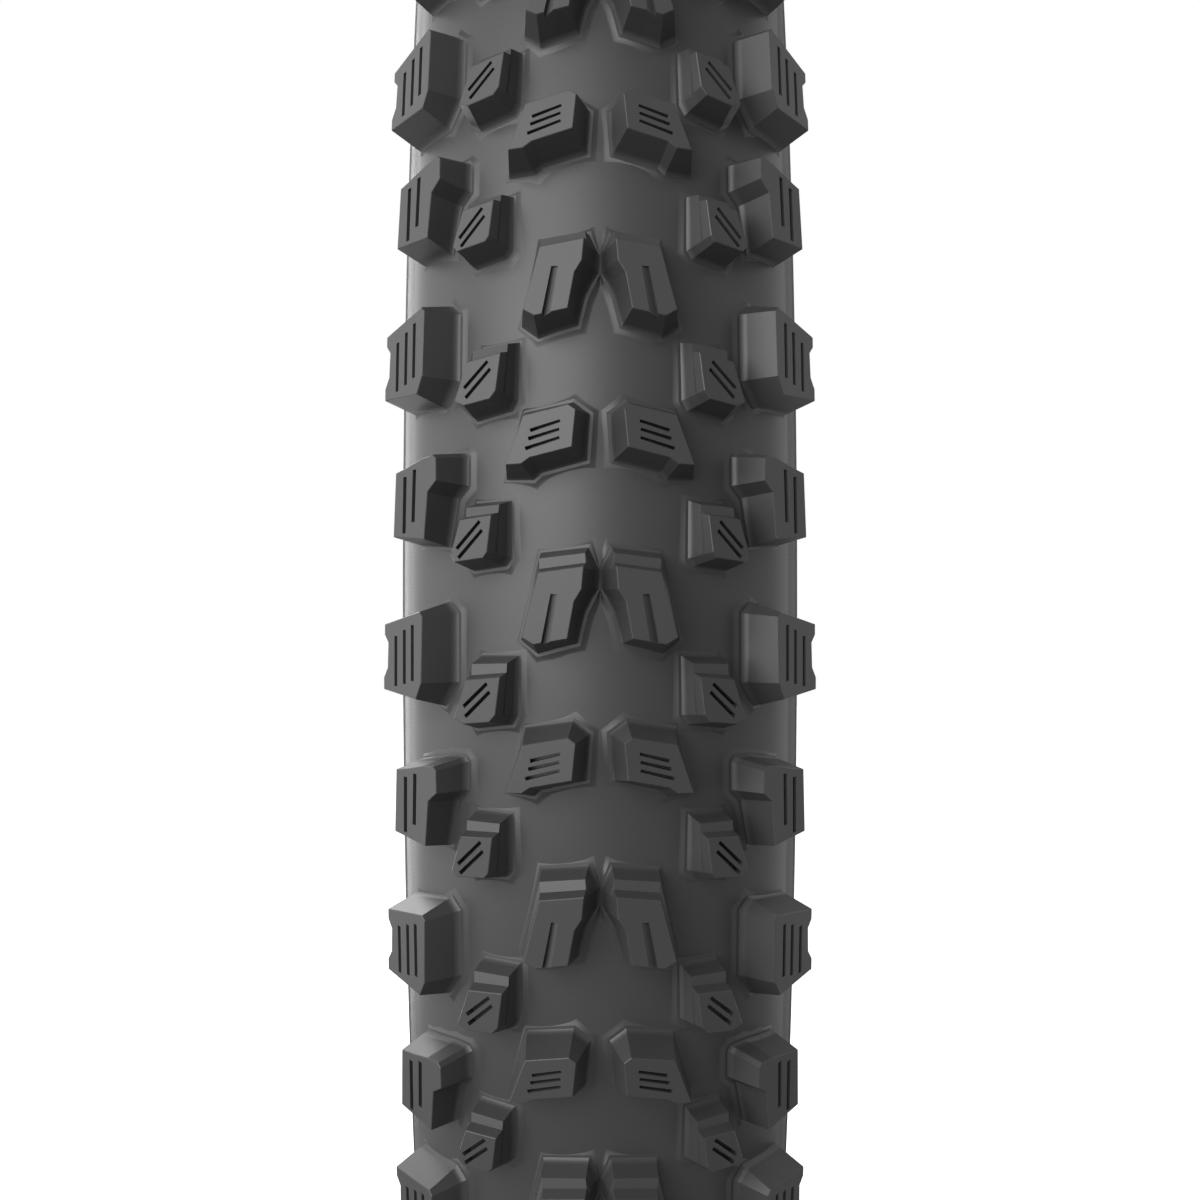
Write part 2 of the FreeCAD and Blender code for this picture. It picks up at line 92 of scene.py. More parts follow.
class TyreBodySizes(bpy.types.PropertyGroup):
    """Sizes of the rings under the knobs"""
    crown_radius: FloatProperty(
        name="Crown Radius", description="Wheel centre to the tread between the knobs",
        default=TREAD_REACH[1], unit="LENGTH", precision=4)
    tube_radius: FloatProperty(
        name="Tube Radius", description="Half of the inflated casing's width",
        default=WALL_REACH[3], unit="LENGTH", precision=4)
    bead_radius: FloatProperty(
        name="Bead Radius", description="Wheel centre to the foot of the bead",
        default=CHAFER_REACH[0], unit="LENGTH", precision=4)
    bead_half_width: FloatProperty(
        name="Bead Half Width", description="Middle plane to the outer side of the bead",
        default=0.015, unit="LENGTH", precision=4)
    bead_flank: FloatProperty(
        name="Bead Flank", description="Height of the bead's flat side",
        default=0.0053, unit="LENGTH", precision=4)
    turn_in_angle: FloatProperty(
        name="Turn-in Angle", description="Tube angle at which the sidewall turns towards the rim",
        default=math.radians(110.0), subtype="ANGLE")
    turn_in_radius: FloatProperty(
        name="Turn-in Radius", description="Radius of the sidewall's turn",
        default=0.012, unit="LENGTH", precision=4)
    straight: FloatProperty(
        name="Straight", description="Straight stretch above the rim's edge",
        default=0.004, unit="LENGTH", precision=4)
    rim_clearance: FloatProperty(
        name="Rim Clearance", description="Hollow radius round the rim's edge",
        default=0.003, unit="LENGTH", precision=4)
    tread_edge_angle: FloatProperty(
        name="Tread Edge Angle", description="Tube angle where the tread meets the sidewall",
        default=math.radians(66.0), subtype="ANGLE")
    rubber: FloatProperty(
        name="Rubber", description="Thickness of tread, sidewall and chafer",
        default=0.0012, unit="LENGTH", precision=4)
    liner_depth: FloatProperty(
        name="Liner Depth", description="Skin to the liner's outer face",
        default=0.0024, unit="LENGTH", precision=4)
    liner: FloatProperty(
        name="Liner", description="Thickness of the airtight liner",
        default=0.0004, unit="LENGTH", precision=4)
    turns: IntProperty(
        name="Steps Round the Wheel", description="How many steps each ring takes", default=540,
        min=60, max=1200)


class TyreKnobSizes(bpy.types.PropertyGroup):
    """Sizes of the knobs and of the moulded foot under each of them"""
    repeats: IntProperty(
        name="Repeats", description="How often the pattern repeats round the wheel",
        default=54, min=20, max=90)
    crown_height: FloatProperty(
        name="Crown Height", description="Height of the centre wedges and bars",
        default=0.0054, unit="LENGTH", precision=4)
    transition_height: FloatProperty(
        name="Transition Height", description="Height of the knobs beside the centre",
        default=0.0049, unit="LENGTH", precision=4)
    shoulder_height: FloatProperty(
        name="Shoulder Height", description="Height of the outermost knobs",
        default=0.0052, unit="LENGTH", precision=4)
    ledge_height: FloatProperty(
        name="Ledge Height", description="Height of the low ledge on which a knob stands",
        default=0.00028, unit="LENGTH", precision=5)
    ledge_width: FloatProperty(
        name="Ledge Width", description="Width of that ledge",
        default=0.00045, unit="LENGTH", precision=5)
    skirt_width: FloatProperty(
        name="Skirt Width", description="Run of the soft slope from the ledge to the tread",
        default=0.0010, unit="LENGTH", precision=5)
    foot_round: FloatProperty(
        name="Foot Rounding", description="Height of the soft turn from the ledge into the wall",
        default=0.0012, unit="LENGTH", precision=5)
    edge_round: FloatProperty(
        name="Edge Rounding", description="Width of the rounded edge round a knob's top",
        default=0.00009, unit="LENGTH", precision=5)


class TyreFinish(bpy.types.PropertyGroup):
    """Colours and gloss of the rubbers and fabrics"""
    tread_colour: FloatVectorProperty(
        name="Tread Rubber", description="Colour of the tread rubber",
        default=(0.040, 0.040, 0.041), subtype="COLOR", min=0, max=1)
    tread_roughness: FloatProperty(
        name="Tread Roughness", description="Satin of the tread rubber", default=0.44,
        min=0, max=1, subtype="FACTOR")
    wall_colour: FloatVectorProperty(
        name="Sidewall Rubber", description="Colour of the sidewall rubber",
        default=(0.032, 0.032, 0.034), subtype="COLOR", min=0, max=1)
    chafer_colour: FloatVectorProperty(
        name="Chafer Rubber", description="Colour of the woven strip at the bead",
        default=(0.028, 0.028, 0.030), subtype="COLOR", min=0, max=1)
    liner_colour: FloatVectorProperty(
        name="Liner Rubber", description="Colour of the airtight liner",
        default=(0.045, 0.045, 0.048), subtype="COLOR", min=0, max=1)
    cord_colour: FloatVectorProperty(
        name="Casing Cords", description="Colour of the rubbered nylon cords",
        default=(0.090, 0.085, 0.075), subtype="COLOR", min=0, max=1)
    breaker_colour: FloatVectorProperty(
        name="Puncture Belt", description="Colour of the woven belt under the tread",
        default=(0.30, 0.26, 0.16), subtype="COLOR", min=0, max=1)
    filler_colour: FloatVectorProperty(
        name="Bead Filler", description="Colour of the rubber round each bead core",
        default=(0.040, 0.040, 0.042), subtype="COLOR", min=0, max=1)
    aramid_colour: FloatVectorProperty(
        name="Bead Aramid", description="Colour of the aramid bead",
        default=(0.62, 0.52, 0.22), subtype="COLOR", min=0, max=1)


class TyreStudio(bpy.types.PropertyGroup):
    """Camera, floor and light"""
    camera_distance: FloatProperty(
        name="Camera Distance", description="Wheel centre to the camera",
        default=0.542, unit="LENGTH", precision=4)
    lens: FloatProperty(
        name="Lens", description="Focal length on a 36 mm sensor", default=38.85,
        unit="CAMERA", precision=2)
    key_power: FloatProperty(
        name="Key Power", description="Power of the large light on the left", default=34.0,
        unit="POWER", precision=2)
    side_power: FloatProperty(
        name="Side Power", description="Power of the wide light beside the tyre on the left",
        default=15.0, unit="POWER", precision=2)
    far_side_power: FloatProperty(
        name="Far Side Power", description="Power of the weak light beside the tyre on the right",
        default=1.5, unit="POWER", precision=2)
    edge_power: FloatProperty(
        name="Edge Power", description="Power of the light behind the tyre on the left",
        default=14.0, unit="POWER", precision=2)
    rim_power: FloatProperty(
        name="Rim Power", description="Power of the narrow light on the right", default=1.2,
        unit="POWER", precision=2)
    floor_glow: FloatProperty(
        name="Floor Glow", description="Own light of the floor, which keeps it pale",
        default=0.75, min=0, max=2)
    fill: FloatProperty(
        name="Fill", description="Strength of the soft light from all round", default=0.31,
        min=0, max=4)


# -------------------------------------------------------------------- mesh helpers

def put_on_tyre(obj, replaced):
    """Let a finished piece stand for CAD nodes and move with the tyre."""
    bpy.context.scene.collection.objects.link(obj)
    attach(obj, "root")
    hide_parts(*replaced)


def ring_piece(name, section, turns, material):
    """A closed outline carried once round the axle.

    A point (distance r, side s) of the outline stands, after a turn t, at
    x = r cos t, y = s, z = r sin t. The map's u is the way round and v the way
    along the outline, both in metres, so that threads follow the surface.
    """
    section = np.asarray(section, float)
    count = len(section)
    following = np.roll(section, -1, axis=0)
    area = np.sum(section[:, 0] * following[:, 1] - following[:, 0] * section[:, 1])
    if area < 0:
        section = section[::-1]
    turn = np.arange(turns) * (2 * math.pi / turns)
    points = np.empty((turns, count, 3))
    points[..., 0] = np.outer(np.cos(turn), section[:, 0])
    points[..., 1] = section[:, 1]
    points[..., 2] = np.outer(np.sin(turn), section[:, 0])
    step, place = np.meshgrid(np.arange(turns), np.arange(count), indexing="ij")
    next_step, next_place = (step + 1) % turns, (place + 1) % count
    corners = np.stack([step * count + place, step * count + next_place,
                        next_step * count + next_place, next_step * count + place], -1)
    mesh = bpy.data.meshes.new(name)
    mesh.from_pydata(points.reshape(-1, 3).tolist(), [], corners.reshape(-1, 4).tolist())
    lengths = np.linalg.norm(np.roll(section, -1, axis=0) - section, axis=1)
    along = np.concatenate([[0.0], np.cumsum(lengths)])
    round_length = 2 * math.pi * section[:, 0].mean() / turns
    u = np.stack([step, step, step + 1, step + 1], -1) * round_length
    v = np.stack([along[place], along[place + 1], along[place + 1], along[place]], -1)
    layer = mesh.uv_layers.new(name="surface")
    layer.data.foreach_set("uv", np.stack([u, v], -1).astype(np.float32).ravel())
    mesh.shade_smooth()
    mesh.set_sharp_from_angle(angle=math.radians(38.0))
    mesh.materials.append(material)
    mesh.update()
    return bpy.data.objects.new(name, mesh)


# ------------------------------------------------------------- the tyre's section
# Every point is (distance from the axle, distance to the side), in metres.

BEAD_BASE = 0.0010            # chafer under the bead
TOE_RISE = 0.0040             # height of the chafer's lip on the air side
TOE_THICKNESS = 0.0006        # thickness of that lip
PLY_THICKNESS = 0.0006        # one rubbered casing ply
FILLER_RISE = 0.0048          # top of the bead's flat side to the filler's inner corner
CORNER_ROUND = 0.0005         # rounding at the outer corner of the bead's foot
LIP_ROUND = 0.0003            # rounding at the chafer's lip

# Moulded rings of the sidewall, as (place along it from the tread's edge, half width,
# height): two fine mould lines, and two rings above the rim.
SIDEWALL_RINGS = [(0.0065, 0.0005, 0.00025), (0.0150, 0.0005, 0.00025),
                  (0.0345, 0.0007, 0.0005), (0.0372, 0.0005, 0.0003)]
SIDEWALL_SPACING = 0.00035    # step along the sidewall's section, fine enough for its rings

# Steps of the sections' arcs: the tread's outer and inner face, and the tube's and the
# turn's arc in a sidewall and in the liner.
TREAD_STEPS, WALL_STEPS, LINER_STEPS = (72, 36), (48, 28), (26, 12)

def arc(centre, radius, start, end, steps):
    """Points of an arc: centre + radius (cos a, sin a), for angles a from start to end."""
    angles = np.linspace(start, end, steps + 1)
    return np.stack([centre[0] + radius * np.cos(angles),
                     centre[1] + radius * np.sin(angles)], -1)


def section_marks(sizes):
    """Centres of the skin's arcs and the angle at which the turn ends.

    Sideways, the arcs' centre line and the straight have to add up to the flank:
    arcs sin(a) + straight cos(a) = what is left to cover.
    """
    tube_middle = np.array([sizes.crown_radius - sizes.tube_radius, 0.0])
    reach = sizes.tube_radius - sizes.turn_in_radius
    turn_middle = tube_middle + reach * np.array([math.cos(sizes.turn_in_angle),
                                                  math.sin(sizes.turn_in_angle)])
    arcs = sizes.turn_in_radius + sizes.rim_clearance
    left_over = sizes.bead_half_width + sizes.rim_clearance - turn_middle[1]
    whole = math.hypot(arcs, sizes.straight)
    end = math.pi - math.asin(left_over / whole) - math.atan(sizes.straight / arcs)
    hollow_middle = np.array([sizes.bead_radius + sizes.bead_flank,
                              sizes.bead_half_width + sizes.rim_clearance])
    return tube_middle, turn_middle, hollow_middle, end


def wall_line(sizes, depth, start):
    """The skin at a depth, from a tube angle over the turn to the end of the straight."""
    tube_middle, turn_middle, hollow_middle, end = section_marks(sizes)
    tube = arc(tube_middle, sizes.tube_radius - depth, start, sizes.turn_in_angle, WALL_STEPS[0])
    turn = arc(turn_middle, sizes.turn_in_radius - depth, sizes.turn_in_angle, end,
               WALL_STEPS[1])
    reach = sizes.rim_clearance + depth
    last = hollow_middle - reach * np.array([math.cos(end), math.sin(end)])
    share = np.linspace(0.0, 1.0, 11)[1:, None]
    straight = turn[-1] + (last - turn[-1]) * share
    return np.concatenate([tube, turn[1:], straight])


def hollow_line(sizes, depth):
    """The hollow round the rim's edge, down to the top of the bead's flat side."""
    hollow_middle, end = section_marks(sizes)[2:]
    return arc(hollow_middle, sizes.rim_clearance + depth, end - math.pi, -math.pi / 2, 10)


def raised(line, ribs):
    """Lift parts of a line off itself: each rib adds height * exp(-((s - place) / width)^4)."""
    steps = np.linalg.norm(np.diff(line, axis=0), axis=1)
    along = np.concatenate([[0.0], np.cumsum(steps)])
    heading = np.gradient(line, axis=0)
    heading /= np.linalg.norm(heading, axis=1)[:, None]
    outward = np.stack([heading[:, 1], -heading[:, 0]], -1)
    lift = sum(height * np.exp(-((along - place) / width) ** 4) for place, width, height in ribs)
    return line + outward * lift[:, None]


def refined(line, spacing):
    """The same line in even steps of about the given spacing."""
    steps = np.linalg.norm(np.diff(line, axis=0), axis=1)
    along = np.concatenate([[0.0], np.cumsum(steps)])
    places = np.linspace(0.0, along[-1], max(2, int(along[-1] / spacing)) + 1)
    return np.stack([np.interp(places, along, line[:, 0]),
                     np.interp(places, along, line[:, 1])], -1)


def mirrored_section(section):
    """The same section on the other side of the wheel's middle plane: s becomes -s."""
    return section * np.array([1.0, -1.0])


# --------------------------------------------------------------------- materials

def fresh_material(name, colour, roughness):
    """A material with one Principled shader, its colour and roughness set on the shader."""
    material = bpy.data.materials.new(name)
    material.use_nodes = True
    shader = material.node_tree.nodes["Principled BSDF"]
    shader.inputs["Base Color"].default_value = (*colour, 1.0)
    shader.inputs["Roughness"].default_value = roughness
    return material, material.node_tree.nodes, material.node_tree.links, shader


def mottled(nodes, links, shader, vector, colour, roughness, scale, spread):
    """Let colour and roughness wander a little with a soft noise."""
    noise = nodes.new("ShaderNodeTexNoise")
    noise.inputs["Scale"].default_value = scale
    noise.inputs["Detail"].default_value = 4.0
    links.new(vector, noise.inputs["Vector"])
    tint = nodes.new("ShaderNodeValToRGB")
    tint.color_ramp.elements[0].position = 0.3
    tint.color_ramp.elements[1].position = 0.7
    tint.color_ramp.elements[0].color = (*[c * (1 - spread) for c in colour], 1)
    tint.color_ramp.elements[1].color = (*[c * (1 + spread) for c in colour], 1)
    links.new(noise.outputs["Fac"], tint.inputs["Fac"])
    links.new(tint.outputs["Color"], shader.inputs["Base Color"])
    satin = nodes.new("ShaderNodeMapRange")
    satin.inputs["To Min"].default_value = roughness - 0.04
    satin.inputs["To Max"].default_value = roughness + 0.04
    links.new(noise.outputs["Fac"], satin.inputs["Value"])
    links.new(satin.outputs["Result"], shader.inputs["Roughness"])


def bumped(nodes, links, shader, height, distance, strength, below=None):
    """Add a height to the shader's normal, on top of another bump if there is one."""
    bump = nodes.new("ShaderNodeBump")
    bump.inputs["Distance"].default_value = distance
    bump.inputs["Strength"].default_value = strength
    links.new(height, bump.inputs["Height"])
    if below is not None:
        links.new(below.outputs["Normal"], bump.inputs["Normal"])
    links.new(bump.outputs["Normal"], shader.inputs["Normal"])
    return bump


def grain(nodes, links, vector, scale):
    """A fine even noise, used as the height of the rubber's grain."""
    noise = nodes.new("ShaderNodeTexNoise")
    noise.inputs["Scale"].default_value = scale
    noise.inputs["Detail"].default_value = 2.0
    links.new(vector, noise.inputs["Vector"])
    return noise.outputs["Fac"]


def threads(nodes, links, vector, pitch, angle):
    """Parallel round threads at an angle: the height is a sine of the distance across them."""
    turned = nodes.new("ShaderNodeMapping")
    turned.inputs["Rotation"].default_value = (0.0, 0.0, angle)
    links.new(vector, turned.inputs["Vector"])
    wave = nodes.new("ShaderNodeTexWave")
    wave.wave_type = "BANDS"
    wave.bands_direction = "X"
    wave.inputs["Scale"].default_value = 0.314 / pitch
    links.new(turned.outputs["Vector"], wave.inputs["Vector"])
    return wave.outputs["Fac"]


def moulded_rubber(name, colour, roughness):
    """Smooth satin rubber straight from the mould, with a very fine grain."""
    material, nodes, links, shader = fresh_material(name, colour, roughness)
    place = nodes.new("ShaderNodeTexCoord").outputs["Object"]
    mottled(nodes, links, shader, place, colour, roughness, 18.0, 0.05)
    bumped(nodes, links, shader, grain(nodes, links, place, 1400.0), 0.00003, 0.25)
    shader.inputs["Specular IOR Level"].default_value = 0.5
    return material


def printed_rubber(name, colour, roughness, pitch, crossing, depth):
    """Thin rubber over threads: both thread directions show through as a faint relief."""
    material, nodes, links, shader = fresh_material(name, colour, roughness)
    source = nodes.new("ShaderNodeTexCoord")
    mottled(nodes, links, shader, source.outputs["Object"], colour, roughness, 26.0, 0.08)
    one = threads(nodes, links, source.outputs["UV"], pitch, crossing)
    first = bumped(nodes, links, shader, one, depth, 0.5)
    other = threads(nodes, links, source.outputs["UV"], pitch, -crossing)
    bumped(nodes, links, shader, other, depth, 0.4, first)
    return material


def liner_rubber(name, colour):
    """Smooth butyl with the fine lines that the curing bladder leaves across the tyre."""
    material, nodes, links, shader = fresh_material(name, colour, 0.36)
    source = nodes.new("ShaderNodeTexCoord")
    mottled(nodes, links, shader, source.outputs["Object"], colour, 0.36, 30.0, 0.1)
    lines = threads(nodes, links, source.outputs["UV"], 0.011, 0.0)
    sharp = nodes.new("ShaderNodeMapRange")
    sharp.inputs["From Min"].default_value = 0.93
    sharp.inputs["From Max"].default_value = 1.0
    links.new(lines, sharp.inputs["Value"])
    first = bumped(nodes, links, shader, sharp.outputs["Result"], 0.0002, 0.6)
    bumped(nodes, links, shader, grain(nodes, links, source.outputs["Object"], 500.0),
           0.00006, 0.3, first)
    return material


def cord_fabric(name, colour, pitch, sheen):
    """Close threads round a solid ring, laid slantwise through the object's own axes."""
    material, nodes, links, shader = fresh_material(name, colour, 0.62)
    place = nodes.new("ShaderNodeTexCoord").outputs["Object"]
    mottled(nodes, links, shader, place, colour, 0.62, 60.0, 0.15)
    one = threads(nodes, links, place, pitch, math.radians(45.0))
    first = bumped(nodes, links, shader, one, 0.0001, 0.6)
    other = threads(nodes, links, place, pitch, math.radians(-45.0))
    bumped(nodes, links, shader, other, 0.0001, 0.6, first)
    shader.inputs["Sheen Weight"].default_value = sheen
    return material


# ------------------------------------------------------------------- the knobs
# A knob is described flat, in millimetres: the first number is across the tread, away
# from the crown, and the second along it, forwards. "top" and "foot" go round the
# knob the same way, corner by corner; "foot" is where the walls meet the ledge.
# Where "front" is true, the first two corners carry the steps of the leading edge.
# A cut is (start, end, width at start, width at end, depth at start, depth at end).
# A slot opens between the outline's corner "mouth" and the next, and ends at "end";
# its depths are at that end and in the wall.

FRONT_SHARES = (0.60, 0.67)       # heights of the two steps, as shares of the wall
FRONT_RUNS = (0.67, 0.185)        # how far forwards they reach, as shares of the foot's run

OUTER_LEDGE = 0.5                  # the ledge's size on a knob's outer side, as a share
SKIRT_SINK = 0.00004               # how far the skirt's edge lies in the tread, in metres
SKIRT_BEND = (0.45, 0.3)           # where the skirt bends, as shares of its run and height
MIDDLE_GAP = 0.00002               # how far a skirt stays off the middle line, in metres
FOOT_MITRE = 1.15                  # longest step outwards at a corner of the foot
EDGE_FALL = 0.8                    # how far the top's edge falls inwards, in edge widths

KNOB_SHAPES = {
    "centre_wedges": {
        "across": 5.0, "along": 0.0, "height": "crown_height", "front": True,
        "top": [(2.2, 3.6), (-3.8, 4.4), (-3.75, 4.1), (-3.5, 1.4), (-2.5, -0.2), (-2.35, -1.0),
                (-1.6, -5.05), (0.65, -5.43), (1.86, -5.63), (2.9, -5.8), (4.4, -4.9)],
        "foot": [(3.05, 6.35), (-3.5, 7.05), (-4.95, 4.05), (-4.85, 1.5), (-4.05, 0.3),
                 (-3.05, -1.7), (-2.05, -5.8), (0.7, -6.5), (1.95, -6.85), (3.45, -7.25),
                 (5.9, -5.4)],
        "cuts": [],
        "slot": {"mouth": 7, "end": [(-0.33, 0.78), (0.6, 0.78)], "depths": (0.45, 0.8)},
    },
    "centre_bars": {
        "across": 7.0, "along": 0.5, "height": "crown_height", "front": False,
        "top": [(2.0, 2.6), (-4.1, 3.8), (-5.1, 3.1), (-4.6, -1.8), (1.1, -3.0), (2.3, -3.8),
                (4.35, -3.85)],
        "foot": [(3.25, 4.1), (-3.45, 5.2), (-5.7, 3.5), (-5.3, -2.8), (1.0, -4.3), (2.0, -5.2),
                 (6.0, -5.0)],
        "cuts": [((1.04, 0.56), (-3.05, 1.67), 0.50, 0.40, 1.4, 1.0),
                 ((1.28, -0.54), (-2.94, 0.57), 0.50, 0.40, 1.4, 1.0),
                 ((1.70, -1.82), (-2.95, -0.54), 0.50, 0.40, 1.4, 1.0)],
    },
    "inner_transition_knobs": {
        "across": 14.48, "along": -0.3, "height": "transition_height", "front": True,
        "top": [(2.1, 2.1), (-3.3, 2.75), (-2.55, -2.3), (-1.6, -3.3), (2.5, -3.8), (3.95, -3.1)],
        "foot": [(2.4, 5.15), (-3.4, 5.3), (-3.25, -2.75), (-2.45, -4.15), (3.3, -5.0),
                 (4.9, -3.8)],
        "cuts": [((-1.28, 1.82), (2.41, -1.44), 0.50, 0.55, 1.6, 1.6),
                 ((-1.71, 0.74), (2.16, -2.80), 0.50, 0.55, 1.6, 1.6)],
    },
    "outer_transition_knobs": {
        "across": 15.49, "along": 0.2, "height": "transition_height", "front": True,
        "top": [(1.9, 2.2), (-3.2, 2.65), (-2.5, -2.25), (-1.85, -3.0), (2.7, -3.45),
                (3.4, -2.55)],
        "foot": [(2.3, 4.85), (-3.3, 4.95), (-3.4, -2.9), (-2.55, -3.95), (2.7, -4.5),
                 (4.2, -3.2)],
        "cuts": [((-1.36, 1.89), (2.37, -1.68), 0.50, 0.55, 1.6, 1.6),
                 ((-1.73, 0.69), (2.08, -2.92), 0.50, 0.55, 1.6, 1.6)],
    },
    "shoulder_three_groove_knobs": {
        "across": 27.52, "along": -0.18, "height": "shoulder_height", "front": False,
        "top": [(4.5, 4.0), (-5.2, 6.0), (-5.85, 5.35), (-5.5, -3.8), (-4.1, -6.1), (4.8, -5.3),
                (4.8, -3.6), (3.7, -2.1), (3.5, 1.4), (4.5, 2.5)],
        "foot": [(5.2, 5.2), (-4.6, 7.35), (-6.4, 5.75), (-6.4, -3.85), (-3.6, -7.4),
                 (5.5, -6.5), (5.5, -4.0), (4.3, -2.3), (4.1, 1.5), (5.2, 2.8)],
        "cuts": [((1.30, 2.44), (1.35, -4.63), 0.80, 0.80, 2.2, 2.2),
                 ((-1.10, 3.37), (-1.05, -4.18), 0.80, 0.80, 2.2, 2.2),
                 ((-3.30, 4.14), (-3.25, -3.62), 0.80, 0.80, 2.2, 2.2)],
    },
    "shoulder_two_groove_knobs": {
        "across": 25.02, "along": 0.32, "height": "shoulder_height", "front": False,
        "top": [(4.0, 4.5), (1.4, 5.0), (-2.3, 5.9), (-4.8, 6.2), (-5.5, 5.7), (-5.55, 2.6),
                (-3.6, 1.2), (-2.85, -5.2), (4.5, -4.5)],
        "foot": [(4.8, 5.3), (1.5, 6.0), (-2.4, 6.8), (-5.1, 6.9), (-5.7, 6.3), (-5.7, 2.3),
                 (-3.9, 0.7), (-2.2, -6.1), (5.2, -5.4)],
        "cuts": [((1.72, 3.76), (1.89, -4.15), 0.80, 0.80, 2.2, 2.2),
                 ((-0.57, 4.56), (-0.28, -2.70), 0.80, 0.80, 2.2, 2.2)],
    },
}


def outward_steps(outline, longest=2.0):
    """At each corner, the mitred step that moves both of its edges out by one.

    With n and m the outward normals of the two edges, it is (n + m) / (1 + n.m), and
    no longer than the given length, which blunts the sharp corners.
    """
    ahead = np.roll(outline, -1, axis=0) - outline
    ahead /= np.linalg.norm(ahead, axis=1)[:, None]
    normal = np.stack([ahead[:, 1], -ahead[:, 0]], -1)
    before = np.roll(normal, 1, axis=0)
    step = (normal + before) / (1.0 + np.sum(normal * before, axis=1))[:, None]
    return step * np.minimum(1.0, longest / np.linalg.norm(step, axis=1))[:, None]


def on_tread(flat, lift, tilt, body):
    """Heights in the knob's flat frame at which points stand that far above the tread.

    The frame stands on the tube at the tilt angle. A height w puts a point at a distance
    from the tube's middle line, and the excess of that distance is taken off w until
    nothing is left.
    """
    ring = body.crown_radius - body.tube_radius
    height = np.zeros(len(flat))
    for _ in range(8):
        x = ring + (body.tube_radius + height) * math.cos(tilt) - flat[:, 0] * math.sin(tilt)
        y = (body.tube_radius + height) * math.sin(tilt) + flat[:, 0] * math.cos(tilt)
        away = np.hypot(np.hypot(x, flat[:, 1]) - ring, y)
        height = height - (away - body.tube_radius - lift)
    return height


def sunk_cut(start, end, widths, depths, height):
    """The rims at the top and at the floor of a narrow cut, each as four corners."""
    start, end = np.array(start), np.array(end)
    along = (end - start) / np.linalg.norm(end - start)
    side = np.array([-along[1], along[0]])
    rim = np.array([start - side * widths[0] / 2, end - side * widths[1] / 2,
                    end + side * widths[1] / 2, start + side * widths[0] / 2]) * MM
    top = np.column_stack([rim, np.full(4, height)])
    floor = top.copy()
    floor[:, 2] -= np.array([depths[0], depths[1], depths[1], depths[0]]) * MM
    return top, floor


